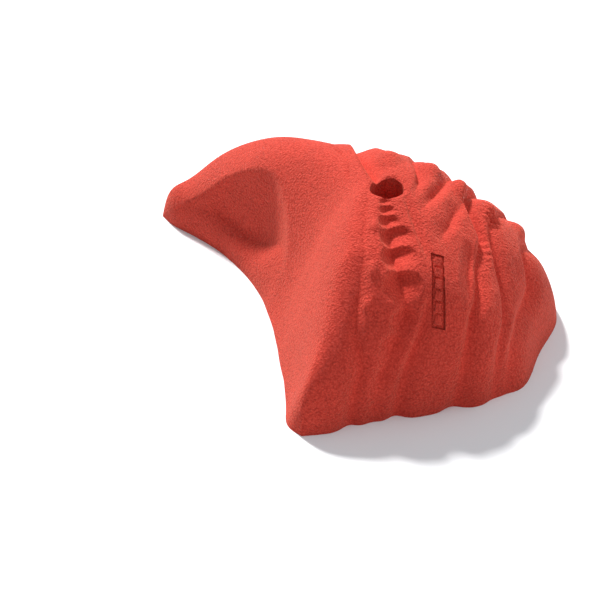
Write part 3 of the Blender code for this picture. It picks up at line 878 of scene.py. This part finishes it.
def pip_tree():
    """Geometry nodes that set rounded pips along a curve."""
    tree = bpy.data.node_groups.new("plate_pips", "GeometryNodeTree")
    for name, kind in (("Geometry", "Geometry"), ("Count", "Int"), ("Pip Size", "Vector"),
                       ("Turn", "Vector"), ("Material", "Material")):
        tree.interface.new_socket(name, in_out="INPUT", socket_type="NodeSocket" + kind)
    tree.interface.new_socket("Geometry", in_out="OUTPUT", socket_type="NodeSocketGeometry")
    link = tree.links.new
    inputs = new_node(tree, "NodeGroupInput", (-800, 0))
    output = new_node(tree, "NodeGroupOutput", (800, 0))
    points = new_node(tree, "GeometryNodeCurveToPoints", (-500, 200), mode="COUNT")
    block = new_node(tree, "GeometryNodeMeshCube", (-700, -100), Size=(2.0, 2.0, 2.0))
    rounded = new_node(tree, "GeometryNodeSubdivisionSurface", (-500, -100), Level=4)
    rounded.inputs["Edge Crease"].default_value = 0.85
    link(block.outputs["Mesh"], rounded.inputs["Mesh"])
    place = new_node(tree, "GeometryNodeInstanceOnPoints", (0, 100))
    realize = new_node(tree, "GeometryNodeRealizeInstances", (300, 100))
    finish = new_node(tree, "GeometryNodeSetMaterial", (500, 100))
    link(inputs.outputs["Geometry"], points.inputs["Curve"])
    link(inputs.outputs["Count"], points.inputs["Count"])
    link(points.outputs["Points"], place.inputs["Points"])
    link(rounded.outputs["Mesh"], place.inputs["Instance"])
    link(inputs.outputs["Turn"], place.inputs["Rotation"])
    link(inputs.outputs["Pip Size"], place.inputs["Scale"])
    link(place.outputs["Instances"], realize.inputs["Geometry"])
    link(realize.outputs["Geometry"], finish.inputs["Geometry"])
    link(inputs.outputs["Material"], finish.inputs["Material"])
    link(finish.outputs["Geometry"], output.inputs["Geometry"])
    return tree


def set_input(modifier, name, value):
    """Set a geometry nodes input by its socket's identifier."""
    for item in modifier.node_group.interface.items_tree:
        if item.item_type == "SOCKET" and item.in_out == "INPUT" and item.name == name:
            modifier[item.identifier] = value
            return
    raise RuntimeError("the node tree has no input named " + name)


def turn_onto(x, y, z):
    """Turn that carries the axes onto x, y and z."""
    return tuple(Matrix((x, y, z)).transposed().to_euler())


# What the casting's operator leaves for the pips: the plate's frame and the resin
made = {}


class HOLD_OT_casting(Operator):
    """Build the ribbed resin casting with its wells and plate recess."""

    bl_idname = "hold.casting"
    bl_label = "Casting"

    def execute(self, context):
        settings = context.scene.hold.casting
        grid, hollowness, surface, scale = casting_grid(settings)
        mesh = casting_mesh(grid, hollowness)
        shift = Vector((BOLT_AXIS.x, BOLT_AXIS.y, 0))
        for vert in mesh.vertices:
            vert.co += shift
        casting = link_object("casting", mesh)
        line, across, outward = plate_frame(surface, scale)
        line = line + np.array(shift)
        cut_with(casting, (well_mesh("bolt_well", BOLT_LOW, BOLT_HIGH, BOLT_SHANK_RADIUS),
                           well_mesh("screw_well", SCREW_LOW, SCREW_HIGH, SCREW_SHANK_RADIUS),
                           plate_mesh(line, across, outward)))
        if not casting.data.polygons:
            raise RuntimeError("the casting came out empty")
        casting.data.shade_smooth()
        casting.data.set_sharp_from_angle(angle=SHARP_ANGLE)
        casting.data.materials.clear()
        casting.data.materials.append(resin_material(settings))
        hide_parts("hold_body")
        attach(casting, BODY)
        made["plate"] = (line, across, outward)
        made["resin"] = casting.data.materials[0]
        return {"FINISHED"}


class HOLD_OT_plate_pips(Operator):
    """Set plain raised pips into the name plate's recess."""

    bl_idname = "hold.plate_pips"
    bl_label = "Plate pips"

    def execute(self, context):
        settings = context.scene.hold.plate
        if "plate" not in made:
            raise RuntimeError("the casting comes before the pips")
        line, across, outward = made["plate"]
        margin = settings.pip_length
        run = running_length(line)
        places = np.linspace(margin, run[-1] - margin, PLATE_STEPS)
        line = np.column_stack([np.interp(places, run, line[:, axis]) for axis in range(3)])
        curve = bpy.data.curves.new("plate_line", "CURVE")
        curve.dimensions = "3D"
        spline = curve.splines.new("POLY")
        spline.points.add(len(line) - 1)
        for point, place in zip(spline.points, line):
            point.co = (*(Vector(place) - outward * PANEL_DEPTH), 1)
        path = link_object("plate_line", curve)
        down = across.cross(outward)
        turn = turn_onto(across, -down, outward)
        modifier = path.modifiers.new("pips", "NODES")
        modifier.node_group = pip_tree()
        set_input(modifier, "Count", settings.count)
        set_input(modifier, "Pip Size", (settings.pip_width / 2, settings.pip_length / 2,
                                         settings.pip_height))
        set_input(modifier, "Turn", turn)
        set_input(modifier, "Material", made["resin"])
        graph = bpy.context.evaluated_depsgraph_get()
        mesh = bpy.data.meshes.new_from_object(path.evaluated_get(graph))
        bpy.data.objects.remove(path, do_unlink=True)
        if not mesh.polygons:
            raise RuntimeError("the pips came out empty")
        mesh.shade_smooth()
        pips = link_object("plate_pips", mesh)
        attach(pips, BODY)
        return {"FINISHED"}


class HOLD_OT_washers(Operator):
    """Give the two moulded-in seat washers their plated finish."""

    bl_idname = "hold.washers"
    bl_label = "Seat washers"

    def execute(self, context):
        steel = steel_material()
        for name in ("bolt_seat_washer", "screw_seat_washer"):
            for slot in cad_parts[name].material_slots:
                slot.material = steel
        return {"FINISHED"}


class HOLD_OT_stage(Operator):
    """Set the floor, the light and the camera."""

    bl_idname = "hold.stage"
    bl_label = "Stage"

    def execute(self, context):
        settings = context.scene.hold.stage
        half = settings.floor_size / 2
        mesh = bpy.data.meshes.new("floor")
        mesh.from_pydata([(-half, -half, 0), (half, -half, 0), (half, half, 0), (-half, half, 0)],
                         [], [(0, 1, 2, 3)])
        mesh.materials.append(floor_material(settings.floor_color))
        link_object("floor", mesh)

        for name, toward, strength, angle in (
                ("sun", settings.sun_toward, settings.sun_strength, settings.sun_angle),
                ("fill", settings.fill_toward, settings.fill_strength, settings.fill_angle)):
            lamp = bpy.data.lights.new(name, "SUN")
            lamp.energy = strength
            lamp.angle = angle
            light = link_object(name, lamp)
            light.rotation_euler = Vector(toward).to_track_quat("Z", "Y").to_euler()
        world = bpy.data.worlds.new("sky")
        world.use_nodes = True
        sky = world.node_tree.nodes["Background"]
        sky.inputs["Color"].default_value = SKY_COLOR
        sky.inputs["Strength"].default_value = settings.sky_strength
        context.scene.world = world

        camera_data = bpy.data.cameras.new("camera")
        camera_data.lens = settings.lens
        camera_data.sensor_width = SENSOR_WIDTH
        camera = link_object("camera", camera_data)
        rise = settings.elevation
        camera.location = (BOLT_AXIS.x + settings.target[0],
                           BOLT_AXIS.y + settings.target[1] - np.cos(rise) * settings.distance,
                           np.sin(rise) * settings.distance)
        camera.rotation_euler = (np.pi / 2 - rise, 0, 0)
        context.scene.camera = camera
        context.scene.view_settings.view_transform = "Standard"
        return {"FINISHED"}


class VIEW3D_PT_hold(Panel):
    """The hold's settings and steps in the sidebar."""

    bl_label = "Climbing Hold"
    bl_idname = "VIEW3D_PT_hold"
    bl_space_type = "VIEW_3D"
    bl_region_type = "UI"
    bl_category = "Climbing Hold"

    def draw(self, context):
        hold = context.scene.hold
        for title, settings, step in (("Casting", hold.casting, HOLD_OT_casting),
                                      ("Plate", hold.plate, HOLD_OT_plate_pips),
                                      ("Washers", None, HOLD_OT_washers),
                                      ("Stage", hold.stage, HOLD_OT_stage)):
            box = self.layout.box()
            box.label(text=title)
            for name in (settings.__annotations__ if settings else ()):
                box.prop(settings, name)
            box.operator(step.bl_idname)


CLASSES = (CastingSettings, PlateSettings, StageSettings, HoldSettings, HOLD_OT_casting,
           HOLD_OT_plate_pips, HOLD_OT_washers, HOLD_OT_stage, VIEW3D_PT_hold)


def register():
    for cls in CLASSES:
        bpy.utils.register_class(cls)
    bpy.types.Scene.hold = PointerProperty(type=HoldSettings)


def unregister():
    del bpy.types.Scene.hold
    for cls in reversed(CLASSES):
        bpy.utils.unregister_class(cls)


def main():
    """Build everything in order."""
    register()
    bpy.ops.hold.casting()
    bpy.ops.hold.plate_pips()
    bpy.ops.hold.washers()
    bpy.ops.hold.stage()


if __name__ == "__main__":
    main()
